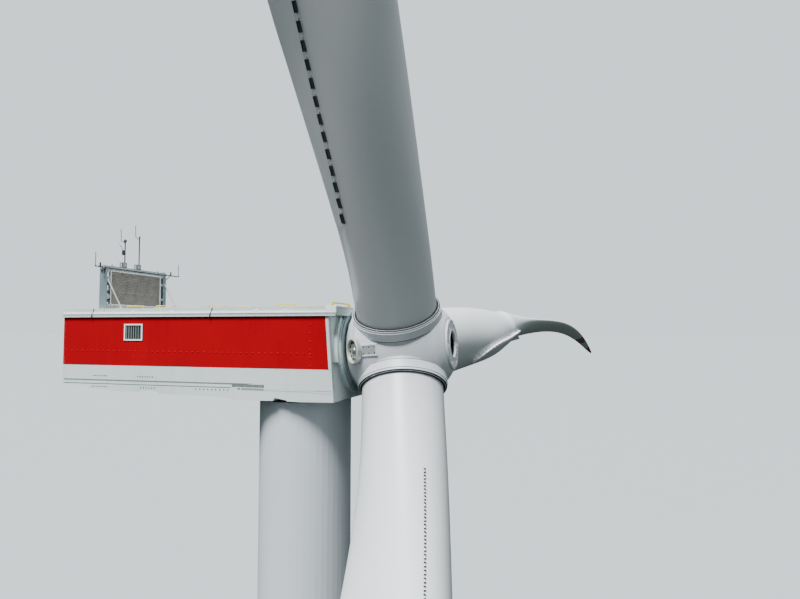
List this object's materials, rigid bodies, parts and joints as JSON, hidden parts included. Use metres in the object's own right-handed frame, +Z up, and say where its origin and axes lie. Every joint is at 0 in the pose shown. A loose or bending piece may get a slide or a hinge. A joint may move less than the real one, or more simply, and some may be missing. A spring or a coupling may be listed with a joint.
{
  "type": "wind turbine nacelle with rotor and top tower section, 1:10 scale model",
  "caption": "Box-shaped turbine nacelle with a red side band and a roof cooler, carried on a tube tower section, with a cast hub and long twisted blades that yaw, spin and pitch.",
  "frame": {"origin": "centre of the tower section's bottom flange face", "axes": "+Z up along the tower, +X towards the rotor, -Y the side seen in the picture"},
  "size_m": [2.3615, 11.3979, 12.9197],
  "materials": {
    "tower_paint": "satin",
    "housing_gelcoat": "satin",
    "roof_gelcoat": "satin",
    "red_gelcoat": "gloss",
    "blade_gelcoat": "satin",
    "hub_paint": "satin",
    "dark_steel": "matte",
    "galvanised_steel": "matte",
    "cooler_sheet": "satin",
    "cooler_fins": "matte",
    "yellow_paint": "satin",
    "seal_rubber": "matte"
  },
  "bodies": {
    "tower": {"tower_section": "tower_paint", "tower_base_flange": "tower_paint", "tower_top_flange": "tower_paint"},
    "nacelle": {"yaw_ring": "dark_steel", "hull_rear": "housing_gelcoat", "hull_middle": "housing_gelcoat", "hull_front": "housing_gelcoat", "side_sill_left": "housing_gelcoat", "side_sill_right": "housing_gelcoat", "red_band_left": "red_gelcoat", "red_band_right": "red_gelcoat", "red_band_rear": "red_gelcoat", "side_louvre_left": "galvanised_steel", "side_louvre_right": "galvanised_steel", "rear_wall": "housing_gelcoat", "front_wall": "housing_gelcoat", "corner_post_left": "housing_gelcoat", "corner_post_right": "housing_gelcoat", "roof_rear": "roof_gelcoat", "roof_middle": "roof_gelcoat", "roof_front": "roof_gelcoat", "roof_hatch_rear": "roof_gelcoat", "roof_hatch_front": "roof_gelcoat", "anchor_rail_left": "yellow_paint", "anchor_rail_right": "yellow_paint", "front_collar": "roof_gelcoat", "collar_fairing_left": "housing_gelcoat", "collar_fairing_right": "housing_gelcoat", "rotor_seal": "seal_rubber", "main_bearing": "dark_steel", "cooler_frame": "galvanised_steel", "cooler_core": "cooler_fins", "cooler_top_beam": "galvanised_steel", "cooler_side_left": "cooler_sheet", "cooler_side_right": "cooler_sheet", "cooler_brace_left": "galvanised_steel", "cooler_brace_right": "galvanised_steel", "sensor_arm_left": "dark_steel", "sensor_arm_right": "dark_steel", "mast_1": "dark_steel", "mast_2": "dark_steel"},
    "rotor": {"hub": "hub_paint", "hub_nose": "hub_paint", "nose_plate": "hub_paint", "main_shaft": "dark_steel", "service_port_1": "galvanised_steel", "service_port_2": "galvanised_steel", "service_port_3": "galvanised_steel", "pitch_bearing_1": "hub_paint", "pitch_bearing_2": "hub_paint", "pitch_bearing_3": "hub_paint"},
    "blade_1": {"blade_1": "blade_gelcoat", "edge_strip_1": "blade_gelcoat"},
    "blade_2": {"blade_2": "blade_gelcoat", "edge_strip_2": "blade_gelcoat"},
    "blade_3": {"blade_3": "blade_gelcoat", "edge_strip_3": "blade_gelcoat"}
  },
  "joints": [
    {"name": "yaw", "type": "hinge", "parent": "tower", "child": "nacelle", "pos_m": [0, 0, 1.74], "axis": [0, 0, 1], "continuous": true},
    {"name": "rotor_spin", "type": "hinge", "parent": "nacelle", "child": "rotor", "pos_m": [0.413, 0, 1.951], "axis": [0.9972, 0, 0.075], "continuous": true},
    {"name": "pitch_1", "type": "hinge", "parent": "rotor", "child": "blade_1", "pos_m": [0.41813, -0.08868, 2.09371], "axis": [-0.0305, 0.5276, -0.849], "range_deg": [-78, 28]},
    {"name": "pitch_2", "type": "hinge", "parent": "rotor", "child": "blade_2", "pos_m": [0.43985, -0.07857, 1.80484], "axis": [-0.1598, 0.4674, 0.8695], "range_deg": [-78, 28]},
    {"name": "pitch_3", "type": "hinge", "parent": "rotor", "child": "blade_3", "pos_m": [0.42834, 0.16725, 1.95801], "axis": [-0.0912, -0.995, -0.0417], "range_deg": [-106, 0]}
  ]
}
